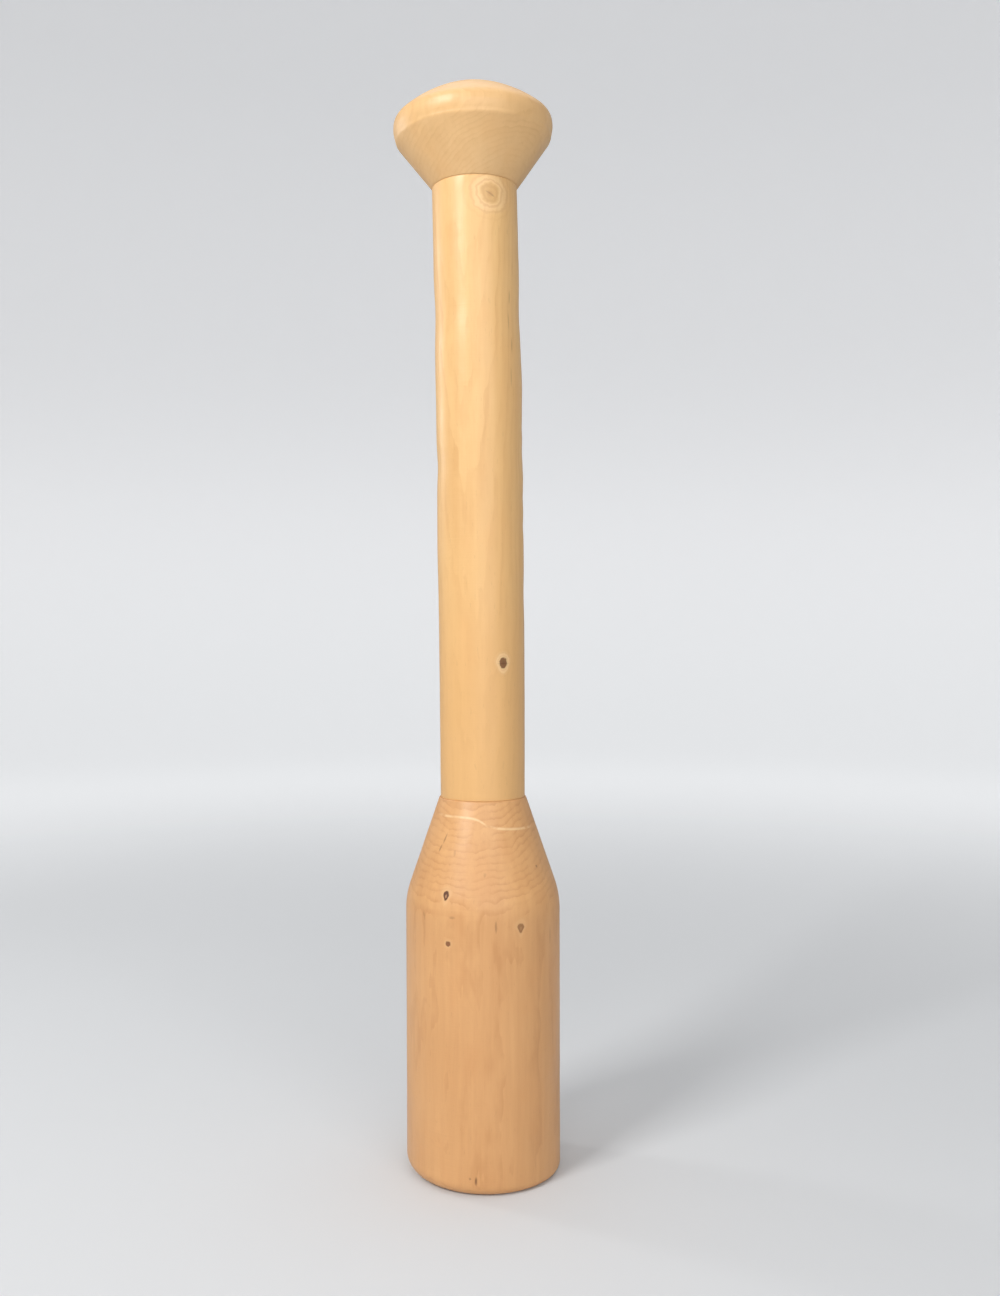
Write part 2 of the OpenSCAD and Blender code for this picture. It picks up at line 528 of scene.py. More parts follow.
@dataclass(frozen=True)
class WoodFinish:
    """The finish of one turned piece: its wood, its marks and how hands have polished it.

    Attributes:
        name: Name of the material.
        seed: Picks the patterns.
        pale: Colour of the light wood.
        deep: Colour of the darker wood.
        warm: Colour of the warm clouds.
        low_shade_and_patina: Colour that the low end tends to. It is painted shade, darker and greyer
            where less light falls; on the handle it is partly patina too.
        shade_and_patina_full: Height at which that painted shade is full.
        shade_and_patina_end: Height at which that painted shade ends.
        pith: Where the heart of the tree lies, from the piece's axis, with a height.
        lean: How far the pith moves for each unit of height.
        ring_width: Distance between growth rings.
        ring_contrast: How dark the ring lines are.
        wander: How far the rings stray.
        streaks: How strongly the streaks show.
        clouds: How strongly the mottle shows.
        roughness: Roughness of the bare wood.
        polished: Roughness where hands have polished it.
        coat: Strength of the waxy top layer.
        relief: Strength of the surface relief.
    """

    name: str
    seed: float
    pale: Colour
    deep: Colour
    warm: Colour
    # Painted shade at the low end of the piece, partly patina on the handle: its colour and the heights
    # between which it fades in.
    low_shade_and_patina: Colour
    shade_and_patina_full: float
    shade_and_patina_end: float
    pith: Triple
    lean: Triple
    ring_width: float
    ring_contrast: float
    wander: float
    streaks: float
    clouds: float
    roughness: float = 0.5
    polished: float = 0.36
    coat: float = 0.12
    relief: float = 1.0

    MARK_COLOURS = {
        Tone.DARK: (0.155, 0.062, 0.022),
        Tone.PALE: (0.87, 0.64, 0.36),
        Tone.RED: (0.56, 0.265, 0.10),
    }

    def material(self, grain: Grain, piece: "TurnedPiece") -> bpy.types.Material:
        """Builds the material of one piece.

        Args:
            grain: The shared node groups.
            piece: The piece, which says where its knots and marks lie.

        Returns:
            The material.
        """
        made = bpy.data.materials.new(self.name)
        made.use_nodes = True
        made.node_tree.nodes.clear()
        s = Sketch(made.node_tree)
        place = s.node("ShaderNodeMapping", label="Millimetres")
        s.feed(place.inputs["Vector"], s.node("ShaderNodeTexCoord").outputs["Object"])
        place.inputs["Scale"].default_value = (1 / MM, 1 / MM, 1 / MM)
        place = place.outputs[0]
        knots = [(k, self._knot(s, grain, piece, k, place, n)) for n, k in enumerate(piece.knots)]
        wood, height = self._wood(s, grain, place, knots)
        for line in piece.lines:
            wood = self._wavy_line(s, wood, line, place)
        wood = self._marks(s, grain, piece, wood, place)
        wood = self._lay_knots(s, wood, knots)
        self._shader(s, grain, wood, height, place)
        return made

    def _local(self, s: Sketch, place: Feed, at: Triple, turn: float, tilt: float, half: Triple) -> Feed:
        """Maps the piece's space so that a mark's edge is one unit from its middle.

        Args:
            s: Where the nodes go.
            place: Place in millimetres.
            at: Middle of the mark.
            turn: Angle round the piece, from the front towards the right.
            tilt: Angle by which the mark's upper end leans to the right.
            half: Half its width, depth and height.

        Returns:
            The mapped vector.
        """
        turned = Matrix.Rotation(math.radians(turn), 3, "Z") @ Matrix.Rotation(math.radians(tilt), 3, "Y")
        # Painted shade: the head fades darker below its shoulder. This stands in for the shoulder catching
        # more light from above.
        made = s.node("ShaderNodeMapping", vector_type="TEXTURE")
        s.feed(made.inputs["Vector"], place)
        made.inputs["Location"].default_value = at
        made.inputs["Rotation"].default_value = turned.to_euler()
        made.inputs["Scale"].default_value = half
        return made.outputs[0]

    def _knot(
        self, s: Sketch, grain: Grain, piece: "TurnedPiece", knot: Knot, place: Feed, number: int
    ) -> bpy.types.Node:
        # Painted shade and patina: the handle fades darker and redder towards the head. This is partly
        # patina and partly stands in for less light lower down.
        """Places one branch knot.

        Args:
            s: Where the nodes go.
            grain: The shared node groups.
            piece: The piece that holds the knot.
            knot: The knot.
            place: Place in millimetres.
            number: The knot's number, which picks its pattern.

        Returns:
            The knot's group node.
        """
        at = piece.on_surface(knot.height, knot.turn)
        half = (knot.half_width, 3.0 * knot.half_width, knot.half_height)
        local = self._local(s, place, at, knot.turn, knot.tilt, half)
        return s.use(grain.knot, vector=local, taper=knot.taper, seed=self.seed + 1.7 * number)

    def _wood(
        self, s: Sketch, grain: Grain, place: Feed, knots: list[tuple[Knot, bpy.types.Node]]
    ) -> tuple[bpy.types.NodeSocket, bpy.types.NodeSocket]:
        # Painted shade: the cone under the rim fades to a darker, greyer colour that stands in for the
        # shade under the rim.
        """Colours the plain wood: rings, fibres and clouds, over a painted shade at the low end.

        Args:
            s: Where the nodes go.
            grain: The shared node groups.
            place: Place in millimetres.
            knots: The knots, round which the rings bend.

        Returns:
            The colour, and the height of the grain for the relief.
        """
        swirl: Feed = 0.0
        for knot, node in knots:
            swirl = s.math("MULTIPLY_ADD", node.outputs["Swirl"], knot.swirl, swirl)
        rings = s.use(
            grain.rings,
            vector=place,
            pith=self.pith,
            lean=self.lean,
            ring_width=self.ring_width,
            wander=self.wander,
            swirl=swirl,
            seed=self.seed,
        )
        fibres = s.use(grain.fibres, vector=place, seed=self.seed)
        mottle = s.use(grain.mottle, vector=place, seed=self.seed)
        line, year, slow = (rings.outputs[n] for n in ("Line", "Year Tone", "Slow Tone"))
        patchy = s.step(mottle.outputs["Small"], 0.3, 0.62)
        lines = s.math("MULTIPLY", s.math("MULTIPLY", line, patchy), self.ring_contrast)
        years = s.sway(year, 0.6 * self.ring_contrast)
        slows = s.sway(slow, 1.6 * self.ring_contrast)
        streak = s.sway(fibres.outputs["Streak"], 2.2 * self.streaks)
        fine = s.sway(fibres.outputs["Fine"], 0.9 * self.streaks)
        cloud = s.sway(mottle.outputs["Broad"], 2.4 * self.clouds)
        depth = s.math("ADD", s.math("ADD", lines, years), s.math("ADD", slows, streak))
        depth = s.math("ADD", s.math("ADD", depth, fine), s.math("ADD", cloud, 0.4), clamp=True)
        # Painted shade: towards the low end of each piece the wood fades to a darker, greyer colour that
        # stands in for less light there; on the handle this is partly patina.
        low = s.step(s.split(place)[2], self.shade_and_patina_end, self.shade_and_patina_full)
        pale = s.blend(low, self.pale, self.low_shade_and_patina)
        wood = s.blend(depth, pale, self.deep)
        warm = s.math("MULTIPLY", mottle.outputs["Warm"], self.clouds)
        wood = s.blend(warm, wood, self.warm)
        fleck = s.math("MULTIPLY", fibres.outputs["Fleck"], 0.22 * self.streaks)
        wood = s.blend(fleck, wood, self.MARK_COLOURS[Tone.DARK])
        pores = s.math("MULTIPLY", fibres.outputs["Fleck"], -0.6)
        height = s.math("ADD", s.math("MULTIPLY_ADD", line, -0.35, pores), fibres.outputs["Fine"])
        return wood, height

    def _wavy_line(self, s: Sketch, wood: Feed, line: WavyLine, place: Feed) -> bpy.types.NodeSocket:
        """Lays a pale growth line over the wood.

        Args:
            s: Where the nodes go.
            wood: The colour underneath.
            line: The line.
            place: Place in millimetres.

        Returns:
            The colour with the line on it.
        """
        x, y, z = s.split(place)
        turn = s.math("ARCTAN2", x, s.math("MULTIPLY", y, -1.0))
        start, stop = math.radians(line.turns[0]), math.radians(line.turns[-1])
        share = s.math("DIVIDE", s.math("SUBTRACT", turn, start), stop - start)
        low, high = min(line.heights), max(line.heights)
        curve = s.node("ShaderNodeFloatCurve")
        points = curve.mapping.curves[0].points
        for turned, height in zip(line.turns[1:-1], line.heights[1:-1]):
            along = (turned - line.turns[0]) / (line.turns[-1] - line.turns[0])
            points.new(along, (height - low) / (high - low))
        points[0].location = (0.0, (line.heights[0] - low) / (high - low))
        points[-1].location = (1.0, (line.heights[-1] - low) / (high - low))
        curve.mapping.update()
        s.feed(curve.inputs["Value"], share)
        middle = s.math("MULTIPLY_ADD", curve.outputs[0], high - low, low)
        away = s.math("ABSOLUTE", s.math("SUBTRACT", z, middle))
        mask = s.step(away, 1.6 * line.half_width, 0.3 * line.half_width)
        ends = s.math("MULTIPLY", s.step(share, 0.0, 0.12), s.step(share, 1.0, 0.9))
        broken = s.step(s.noise(place, 0.3, self.seed, 2.0), 0.3, 0.55)
        shown = s.math("MULTIPLY", broken, line.strength)
        shown = s.math("MULTIPLY", s.math("MULTIPLY", mask, ends), shown)
        return s.blend(shown, wood, self.MARK_COLOURS[Tone.PALE])

    def _marks(
        self, s: Sketch, grain: Grain, piece: "TurnedPiece", wood: Feed, place: Feed
    ) -> bpy.types.NodeSocket:
        """Lays the small marks over the wood, one colour family at a time.

        Args:
            s: Where the nodes go.
            grain: The shared node groups.
            piece: The piece that holds the marks.
            wood: The colour underneath.
            place: Place in millimetres.

        Returns:
            The colour with the marks on it.
        """
        for tone in Tone:
            mask: Feed = 0.0
            chosen = [m for m in piece.marks if m.tone is tone]
            for number, mark in enumerate(chosen):
                at = piece.on_surface(mark.height, mark.turn)
                half = (mark.half_width, max(2.5, 1.2 * mark.half_width), mark.half_height)
                local = self._local(s, place, at, mark.turn, mark.tilt, half)
                node = s.use(grain.mark, vector=local, ragged=mark.ragged, seed=self.seed + 0.9 * number)
                mask = s.math("MAXIMUM", s.math("MULTIPLY", node.outputs[0], mark.strength), mask)
            if chosen:
                wood = s.blend(mask, wood, self.MARK_COLOURS[tone])
        return wood

    @staticmethod
    def _lay_knots(
        s: Sketch, wood: Feed, knots: list[tuple[Knot, bpy.types.Node]]
    ) -> bpy.types.NodeSocket:
        """Lays the knots over the wood.

        Args:
            s: Where the nodes go.
            wood: The colour underneath.
            knots: The knots and their group nodes.

        Returns:
            The colour with the knots on it.
        """
        for knot, node in knots:
            out = node.outputs
            colours = WoodFinish.MARK_COLOURS
            wood = s.blend(s.math("MULTIPLY", out["Halo"], knot.halo), wood, colours[Tone.PALE])
            wood = s.blend(s.math("MULTIPLY", out["Rings"], knot.rings), wood, colours[Tone.RED])
            core = s.blend(s.math("MULTIPLY", out["Heart"], knot.heart_strength), knot.colour, knot.heart)
            wood = s.blend(s.math("MULTIPLY", out["Core"], knot.strength), wood, core)
        return wood

    def _shader(self, s: Sketch, grain: Grain, wood: Feed, height: Feed, place: Feed) -> None:
        """Adds the shader with its roughness and relief.

        Args:
            s: Where the nodes go.
            grain: The shared node groups.
            wood: The finished colour.
            height: Height of the grain.
            place: Place in millimetres.
        """
        polish = s.use(grain.polish, vector=place, seed=self.seed)
        turning = s.use(grain.turning, vector=place, seed=self.seed)
        rough = s.node("ShaderNodeMapRange")
        s.fill(rough, value=polish.outputs["Smudge"], to_min=self.roughness, to_max=self.polished)
        scuffed = s.math("MULTIPLY_ADD", polish.outputs["Scuff"], 0.12, -0.06)
        roughness = s.math("ADD", rough.outputs[0], scuffed, clamp=True)
        soft = s.node("ShaderNodeBump")
        soft.inputs["Strength"].default_value = 0.35 * self.relief
        soft.inputs["Distance"].default_value = 0.5 * MM
        uneven = s.math("MULTIPLY_ADD", turning.outputs[0], 0.25, polish.outputs["Dent"])
        s.feed(soft.inputs["Height"], uneven)
        crisp = s.node("ShaderNodeBump")
        crisp.inputs["Strength"].default_value = 0.3 * self.relief
        crisp.inputs["Distance"].default_value = 0.06 * MM
        s.feed(crisp.inputs["Height"], height)
        s.feed(crisp.inputs["Normal"], soft.outputs[0])
        shader = s.node("ShaderNodeBsdfPrincipled")
        s.feed(shader.inputs["Base Color"], wood)
        s.feed(shader.inputs["Roughness"], roughness)
        s.feed(shader.inputs["Normal"], crisp.outputs[0])
        shader.inputs["Specular IOR Level"].default_value = 0.42
        shader.inputs["Coat Weight"].default_value = self.coat
        shader.inputs["Coat Roughness"].default_value = 0.3
        s.feed(s.node("ShaderNodeOutputMaterial").inputs["Surface"], shader.outputs[0])


@dataclass
class Outline:
    """Half outline of a turned piece, from its axis at one end to its axis at the other.

    Attributes:
        points: Radius and height of each point.
        gives: How radius and height change with the wear of the foot.
        skins: Whether each point is outside or hidden.
    """

    points: list[Point] = field(default_factory=list)
    gives: list[Point] = field(default_factory=list)
    skins: list[Surface] = field(default_factory=list)

    def add(self, point: Point, surface: Surface = Surface.OUTSIDE, give: Point = (0.0, 0.0)) -> None:
        """Adds one point."""
        self.points.append(point)
        self.gives.append(give)
        self.skins.append(surface)

    def line(self, end: Point, rows: int, surface: Surface = Surface.OUTSIDE) -> None:
        """Goes straight to a point.

        Args:
            end: Radius and height where it ends.
            rows: How many rows it takes.
            surface: Whether it is outside or hidden.
        """
        start = np.array(self.points[-1])
        for share in np.linspace(0.0, 1.0, rows + 1)[1:]:
            radius, height = start + (np.array(end) - start) * share
            self.add((float(radius), float(height)), surface)

    def bend(self, handles: list[Point], end: Point, rows: int) -> None:
        """Goes to a point along a curve with one or two handles.

        Args:
            handles: Radius and height of each handle.
            end: Radius and height where it ends.
            rows: How many rows it takes.
        """
        course = np.array([self.points[-1], *handles, end])
        for share in np.linspace(0.0, 1.0, rows + 1)[1:]:
            points = course
            while len(points) > 1:
                points = points[:-1] * (1 - share) + points[1:] * share
            self.add((float(points[0][0]), float(points[0][1])))

    def worn_corner(self, corner: Point, radius: float, rows: int) -> None:
        """Rounds a foot's edge, whose radius the lathe then varies round the piece.

        Args:
            corner: Radius and height of the sharp corner.
            radius: Mean radius of the rounding.
            rows: How many rows it takes.
        """
        for angle in np.linspace(0.0, math.pi / 2, rows):
            give = (-radius * (1 - math.sin(angle)), radius * (1 - math.cos(angle)))
            self.add(corner, Surface.OUTSIDE, give)

    def outside(self) -> list[Point]:
        """Gives the radius and height of the points that aren't hidden in a joint."""
        return [p for p, skin in zip(self.points, self.skins) if skin is Surface.OUTSIDE]

    def mesh(self, name: str) -> bpy.types.Mesh:
        """Makes the outline a mesh of loose points that the lathe reads.

        Args:
            name: The mesh's name.

        Returns:
            The mesh, in metres.
        """
        made = bpy.data.meshes.new(name)
        made.vertices.add(len(self.points))
        places = np.array([(r * MM, 0.0, z * MM) for r, z in self.points], np.float32)
        made.vertices.foreach_set("co", places.ravel())
        give = made.attributes.new("give", "FLOAT_VECTOR", "POINT")
        gives = np.array([(r * MM, 0.0, z * MM) for r, z in self.gives], np.float32)
        give.data.foreach_set("vector", gives.ravel())
        skin = made.attributes.new("skin", "FLOAT", "POINT")
        skin.data.foreach_set("value", np.array([s.value for s in self.skins], np.float32))
        return made


@dataclass(frozen=True)
class Setting:
    """How a piece sits on the lathe.

    Attributes:
        sides: How many sides the round has.
        wear_bias: Share by which the foot's wear grows towards -X.
        unevenness: How far the surface strays.
        uneven_length: How long the stray swells are.
        seed: Picks the swells.
        cant: Angle by which the piece tips towards -X on its joint.
        offset: How far it stands towards +X on its joint.
        joint: Height of that joint.
        faced: Nothing of the piece goes below this height.
    """

    sides: int
    wear_bias: float = 0.0
    unevenness: float = 0.05
    uneven_length: float = 16.0
    seed: float = 0.0
    cant: float = 0.0
    offset: float = 0.0
    joint: float = 0.0
    faced: float = -1.0


@dataclass(frozen=True)
class Bow:
    """The line that the handle's axis follows, bending towards -X as it rises.

    Attributes:
        start: Height where the bow starts.
        length: Length of the bowed stretch.
        lean: Slope at the start.
        sag: Sideways distance at the end, from the bow alone.
    """

    start: float = 145.022
    length: float = 235.391
    lean: float = 0.000726
    sag: float = 2.500

    def shift(self, height: float) -> float:
        """Gives the axis's place along X at a height."""
        above = height - self.start
        held = min(max(above, 0.0), self.length)
        return -(self.lean * above + self.sag / self.length**2 * held * (2 * above - held))


STRAIGHT = Bow(lean=0.0, sag=0.0)


class Lathe:
    """Turns half outlines into closed round meshes with one Geometry Nodes tree."""

    INPUTS = {
        "Sides": "NodeSocketInt",
        "Wear Bias": "NodeSocketFloat",
        "Unevenness": "NodeSocketFloat",
        "Uneven Length": "NodeSocketFloat",
        "Seed": "NodeSocketFloat",
        "Cant": "NodeSocketFloat",
        "Offset": "NodeSocketFloat",
        "Joint": "NodeSocketFloat",
        "Faced": "NodeSocketFloat",
        "Bow Start": "NodeSocketFloat",
        "Bow Length": "NodeSocketFloat",
        "Lean": "NodeSocketFloat",
        "Curve": "NodeSocketFloat",
        "Material": "NodeSocketMaterial",
    }

    def __init__(self) -> None:
        """Builds the tree."""
        self.tree = bpy.data.node_groups.new("Lathe", "GeometryNodeTree")
        self.tree.is_modifier = True
        face = self.tree.interface
        face.new_socket("Outline", in_out="INPUT", socket_type="NodeSocketGeometry")
        for name, kind in self.INPUTS.items():
            face.new_socket(name, in_out="INPUT", socket_type=kind)
        face.new_socket("Mesh", in_out="OUTPUT", socket_type="NodeSocketGeometry")
        self.sketch = Sketch(self.tree)
        self.given = self.sketch.node("NodeGroupInput").outputs
        self._wire()

    def _sampled(self, kind: str, value: Feed, row: Feed) -> bpy.types.NodeSocket:
        """Reads a value of the outline at a row.

        Args:
            kind: FLOAT or FLOAT_VECTOR.
            value: The value to read.
            row: Number of the outline's point.

        Returns:
            The value there.
        """
        made = self.sketch.node("GeometryNodeSampleIndex", data_type=kind, domain="POINT")
        return self.sketch.fill(made, geometry=self.given["Outline"], value=value, index=row).outputs[0]

    def _named(self, kind: str, name: str) -> bpy.types.NodeSocket:
        """Reads an attribute of the outline by its name."""
        made = self.sketch.node("GeometryNodeInputNamedAttribute", data_type=kind)
        return self.sketch.fill(made, name=name).outputs[0]

    def _wire(self) -> None:
        """Wires the tree: a grid of rows and sides, put round the axis, canted, faced and bowed."""
        s, given = self.sketch, self.given
        rows = s.node("GeometryNodeAttributeDomainSize", component="MESH")
        s.feed(rows.inputs[0], given["Outline"])
        rows = rows.outputs["Point Count"]
        grid = s.node("GeometryNodeMeshGrid")
        s.fill(grid, vertices_x=s.math("ADD", given["Sides"], 1.0), vertices_y=rows)
        index = s.node("GeometryNodeInputIndex").outputs[0]
        column = s.math("FLOOR", s.math("DIVIDE", s.math("ADD", index, 0.5), rows))
        row = s.math("SUBTRACT", index, s.math("MULTIPLY", column, rows))
        angle = s.math("MULTIPLY", s.math("DIVIDE", column, given["Sides"]), 2 * math.pi)
        skin = self._sampled("FLOAT", self._named("FLOAT", "skin"), row)
        point = self._sampled("FLOAT_VECTOR", s.node("GeometryNodeInputPosition").outputs[0], row)
        give = self._sampled("FLOAT_VECTOR", self._named("FLOAT_VECTOR", "give"), row)
        towards = s.math("MULTIPLY", given["Wear Bias"], -1.0)
        wear = s.math("MULTIPLY_ADD", s.math("COSINE", angle), towards, 1.0)
        point = s.vector("ADD", point, s.vector("SCALE", give, wear))
        outward = s.combine(s.math("COSINE", angle), s.math("SINE", angle), 0.0)
        radius, _, height = s.split(point)
        turned = s.vector("ADD", s.vector("SCALE", outward, radius), s.combine(0.0, 0.0, height))
        turned = self._uneven(turned, outward, radius, skin)
        turned = self._canted(turned, skin)
        turned = self._bowed(turned)
        placed = s.fill(s.node("GeometryNodeSetPosition"), geometry=grid.outputs[0], position=turned)
        merged = s.fill(s.node("GeometryNodeMergeByDistance"), geometry=placed.outputs[0], distance=2e-6)
        smooth = s.fill(s.node("GeometryNodeSetShadeSmooth"), geometry=merged.outputs[0])
        real = s.fill(s.node("GeometryNodeRealizeInstances"), geometry=smooth.outputs[0])
        dressed = s.node("GeometryNodeSetMaterial")
        s.fill(dressed, geometry=real.outputs[0], material=given["Material"])
        s.feed(s.node("NodeGroupOutput").inputs[0], dressed.outputs[0])

    def _uneven(self, turned: Feed, outward: Feed, radius: Feed, skin: Feed) -> bpy.types.NodeSocket:
        """Strays the outside a little from a true round.

        Args:
            turned: Place of each point.
            outward: Direction away from the axis.
            radius: Distance from the axis.
            skin: 1 on the outside and 0 in a joint.

        Returns:
            The new place.
        """
        s, given = self.sketch, self.given
        noise = s.noise(turned, s.math("DIVIDE", 1.0, given["Uneven Length"]), given["Seed"], 1.0)
        stray = s.sway(noise, s.math("MULTIPLY", given["Unevenness"], NOISE_GAIN))
        near_axis = s.step(radius, 0.0, 8 * MM)
        stray = s.math("MULTIPLY", s.math("MULTIPLY", stray, skin), near_axis)
        return s.vector("ADD", turned, s.vector("SCALE", outward, stray))

    def _canted(self, turned: Feed, skin: Feed) -> bpy.types.NodeSocket:
        """Tips the outside on its joint and faces it off.

        Args:
            turned: Place of each point.
            skin: 1 on the outside and 0 in a joint.

        Returns:
            The new place.
        """
        s, given = self.sketch, self.given
        tip = s.node("ShaderNodeVectorRotate", rotation_type="Y_AXIS")
        s.fill(tip, vector=turned, center=s.combine(0.0, 0.0, given["Joint"]))
        s.feed(tip.inputs["Angle"], s.math("MULTIPLY", given["Cant"], -1.0))
        tipped = s.vector("ADD", tip.outputs[0], s.combine(given["Offset"], 0.0, 0.0))
        change = s.vector("SCALE", s.vector("SUBTRACT", tipped, turned), skin)
        x, y, z = s.split(s.vector("ADD", turned, change))
        return s.combine(x, y, s.math("MAXIMUM", z, given["Faced"]))

    def _bowed(self, turned: Feed) -> bpy.types.NodeSocket:
        """Moves each ring onto the bowed axis and squares it to that axis.

        Args:
            turned: Place of each point.

        Returns:
            The new place.
        """
        s, given = self.sketch, self.given
        x, y, z = s.split(turned)
        above = s.math("SUBTRACT", z, given["Bow Start"])
        held = s.math("MINIMUM", s.math("MAXIMUM", above, 0.0), given["Bow Length"])
        slope = s.math("MULTIPLY_ADD", s.math("MULTIPLY", held, 2.0), given["Curve"], given["Lean"])
        reach = s.math("SUBTRACT", s.math("MULTIPLY", above, 2.0), held)
        curved = s.math("MULTIPLY", s.math("MULTIPLY", held, reach), given["Curve"])
        shift = s.math("MULTIPLY_ADD", above, given["Lean"], curved)
        return s.combine(s.math("SUBTRACT", x, shift), y, s.math("MULTIPLY_ADD", slope, x, z))

    def turn(
        self, name: str, outline: Outline, setting: Setting, bow: Bow, material: bpy.types.Material
    ) -> bpy.types.Object:
        """Turns one piece.

        Args:
            name: The piece's name.
            outline: Its half outline.
            setting: How it sits on the lathe.
            bow: The line that its axis follows.
            material: Its finish.

        Returns:
            The piece as a plain mesh, at the origin, with no modifier left.
        """
        blank = bpy.data.objects.new(f"{name}_outline", outline.mesh(f"{name}_outline"))
        bpy.context.scene.collection.objects.link(blank)
        modifier = blank.modifiers.new("Lathe", "NODES")
        modifier.node_group = self.tree
        values = {
            "Sides": setting.sides,
            "Wear Bias": setting.wear_bias,
            "Unevenness": setting.unevenness * MM,
            "Uneven Length": setting.uneven_length * MM,
            "Seed": setting.seed,
            "Cant": math.radians(setting.cant),
            "Offset": setting.offset * MM,
            "Joint": setting.joint * MM,
            "Faced": setting.faced * MM,
            "Bow Start": bow.start * MM,
            "Bow Length": bow.length * MM,
            "Lean": bow.lean,
            "Curve": bow.sag / bow.length**2 / MM,
            "Material": material,
        }
        for item in self.tree.interface.items_tree:
            if item.in_out == "INPUT" and item.name in values:
                modifier[item.identifier] = values[item.name]
        seen = blank.evaluated_get(bpy.context.evaluated_depsgraph_get())
        mesh = bpy.data.meshes.new_from_object(seen)
        mesh.name = name
        blank.modifiers.remove(modifier)
        bpy.data.objects.remove(blank)
        made = bpy.data.objects.new(name, mesh)
        bpy.context.scene.collection.objects.link(made)
        return made


@dataclass(frozen=True)
class Swell:
    """A soft swell or dent that the hand has left on a turned piece.

    Attributes:
        height: Height of its middle.
        reach: How far it goes up and down.
        lift: How far it stands out, less than 0 for a dent.
        turn: Angle round the piece, from the front towards the right.
        spread: How far it goes round, in degrees. 0 takes it all round.
    """

    height: float
    reach: float
    lift: float
    turn: float = 0.0
    spread: float = 0.0

    def at(self, heights: np.ndarray, turns: np.ndarray) -> np.ndarray:
        """Gives the swell's lift at points of the surface.

        Args:
            heights: Height of each point.
            turns: Angle of each point, from the front towards the right.

        Returns:
            The lift of each point, in millimetres.
        """
        bump = np.exp(-(((heights - self.height) / self.reach) ** 2))
        if self.spread:
            away = (turns - self.turn + 180.0) % 360.0 - 180.0
            bump = bump * np.exp(-((away / self.spread) ** 2))
        return self.lift * bump


@dataclass
class TurnedPiece(ABC):
    """A piece of turned wood that stands for one solid.

    Attributes:
        name: Name of the Blender piece.
        node: Name of the solid.
        slot: Name of the record's material slot.
        finish: Its finish.
        setting: How it sits on the lathe.
        bow: The line that its axis follows.
        knots: Its knots.
        marks: Its small marks.
        lines: Its pale growth lines.
        swells: Its swells and dents.
    """

    # The hand presses no point nearer to an end of the outside than this
    END_MARGIN = 0.5
    # Points nearer to the axis than this share of the largest radius are in a joint
    SKIN_SHARE = 0.8

    name: str
    node: str
    slot: str
    finish: WoodFinish
    setting: Setting
    bow: Bow = STRAIGHT
    knots: tuple[Knot, ...] = ()
    marks: tuple[Mark, ...] = ()
    lines: tuple[WavyLine, ...] = ()
    swells: tuple[Swell, ...] = ()

    @abstractmethod
    def outline(self) -> Outline:
        """Draws the piece's half outline."""

    def radius_at(self, height: float) -> float:
        """Gives the outside radius at a height, from the outline."""
        radii, heights = zip(*self.outline().outside())
        return float(np.interp(height, heights, radii))

    def on_surface(self, height: float, turn: float) -> Triple:
        """Gives a point of the surface.

        Args:
            height: Its height.
            turn: Angle from the front towards the right.

        Returns:
            The point, in millimetres.
        """
        radius, angle = self.radius_at(height), math.radians(turn)
        x = self.bow.shift(height) + radius * math.sin(angle)
        return (x, -radius * math.cos(angle), height)

    def build(self, lathe: Lathe, grain: Grain) -> bpy.types.Object:
        """Turns, dresses and places the piece.

        Args:
            lathe: The lathe.
            grain: The shared node groups.

        Returns:
            The finished piece.
        """
        material = self.finish.material(grain, self)
        made = lathe.turn(self.name, self.outline(), self.setting, self.bow, material)
        self._press(made.data)
        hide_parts(self.node)
        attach(made, BODY)
        return made

    def _press(self, mesh: bpy.types.Mesh) -> None:
        """Presses the swells and dents into the mesh."""
        if not self.swells:
            return
        places = np.empty(len(mesh.vertices) * 3, np.float32)
        mesh.vertices.foreach_get("co", places)
        places = places.reshape(-1, 3).astype(float)
        heights = places[:, 2] / MM
        across = places[:, 0] / MM - np.array([self.bow.shift(h) for h in heights])
        deep = places[:, 1] / MM
        radii = np.hypot(across, deep)
        turns = np.degrees(np.arctan2(across, -deep))
        lift = sum(swell.at(heights, turns) for swell in self.swells)
        lift = lift * self._touched(radii, heights) / np.maximum(radii, 1.0)
        places[:, 0] += across * lift * MM
        places[:, 1] += deep * lift * MM
        mesh.vertices.foreach_set("co", places.astype(np.float32).ravel())
        mesh.update()

    def _touched(self, radii: np.ndarray, heights: np.ndarray) -> np.ndarray:
        """Says which points a hand can press: those on the outside.

        Args:
            radii: Radius of each point.
            heights: Height of each point.

        Returns:
            1 outside and 0 in a joint.
        """
        outer, tops = zip(*self.outline().outside())
        between = (heights > min(tops) + self.END_MARGIN) & (heights < max(tops) - self.END_MARGIN)
        return np.where(between & (radii > self.SKIN_SHARE * max(outer)), 1.0, 0.0)


